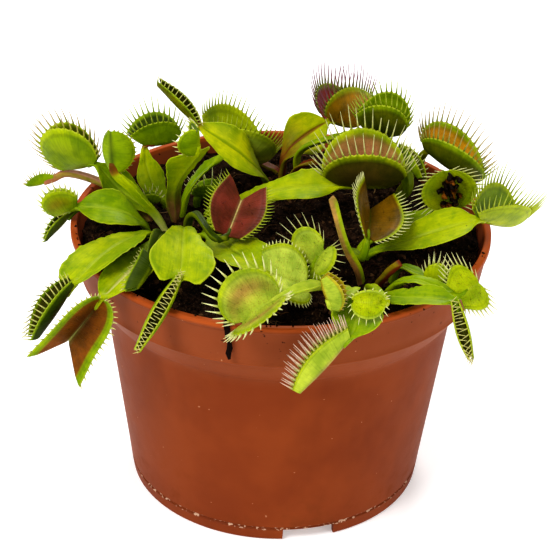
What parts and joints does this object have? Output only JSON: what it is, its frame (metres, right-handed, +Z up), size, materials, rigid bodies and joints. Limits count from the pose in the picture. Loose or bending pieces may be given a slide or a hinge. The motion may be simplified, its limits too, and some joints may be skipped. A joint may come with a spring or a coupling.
{
  "type": "potted venus flytrap",
  "caption": "Carnivorous house plant in a round nursery pot: rosettes of winged petioles that end in toothed two-lobed traps, rooted in dark peat.",
  "frame": {"origin": "on the ground, under the middle of the whole plant's box; the pot's axis stands 0.7 mm towards +X and 7.4 mm towards +Y of it", "axes": "+Z up along the pot's axis, +X to the right and -Y towards the viewer of the side that most traps lean to"},
  "size_m": [0.1484, 0.1348, 0.1186],
  "materials": {
    "pot": "satin",
    "peat": "matte",
    "leaf": "satin",
    "stub": "matte"
  },
  "bodies": {
    "root": {"pot": "pot", "peat": "peat", "leaf_west_broad": "leaf", "leaf_west_open": "leaf", "leaf_west_folded": "leaf", "leaf_west_heart": "leaf", "leaf_west_left": "leaf", "leaf_west_wilted": "leaf", "leaf_west_high": "leaf", "leaf_west_edge": "leaf", "leaf_west_keel": "leaf", "leaf_west_back": "leaf", "leaf_west_tall": "leaf", "leaf_west_rear": "leaf", "leaf_west_bud": "leaf", "leaf_west_bud_right": "leaf", "leaf_west_low": "leaf", "leaf_west_low_front": "leaf", "leaf_west_low_right": "leaf", "leaf_middle_broad": "leaf", "leaf_middle_long": "leaf", "leaf_middle_red": "leaf", "leaf_north_high": "leaf", "leaf_north_left": "leaf", "leaf_north_red": "leaf", "leaf_north_right": "leaf", "leaf_north_strip": "leaf", "leaf_north_dark": "leaf", "leaf_back_frilly": "leaf", "leaf_back_orange": "leaf", "leaf_east_dead": "leaf", "leaf_east_long": "leaf", "leaf_east_orange": "leaf", "leaf_east_arched": "leaf", "leaf_east_round": "leaf", "leaf_east_hanging": "leaf", "leaf_front_hanging": "leaf", "leaf_east_yellow": "leaf", "leaf_front_open": "leaf", "leaf_east_small": "leaf", "leaf_east_slender": "leaf", "leaf_middle_pair": "leaf", "flower_stub": "stub"}
  },
  "joints": []
}
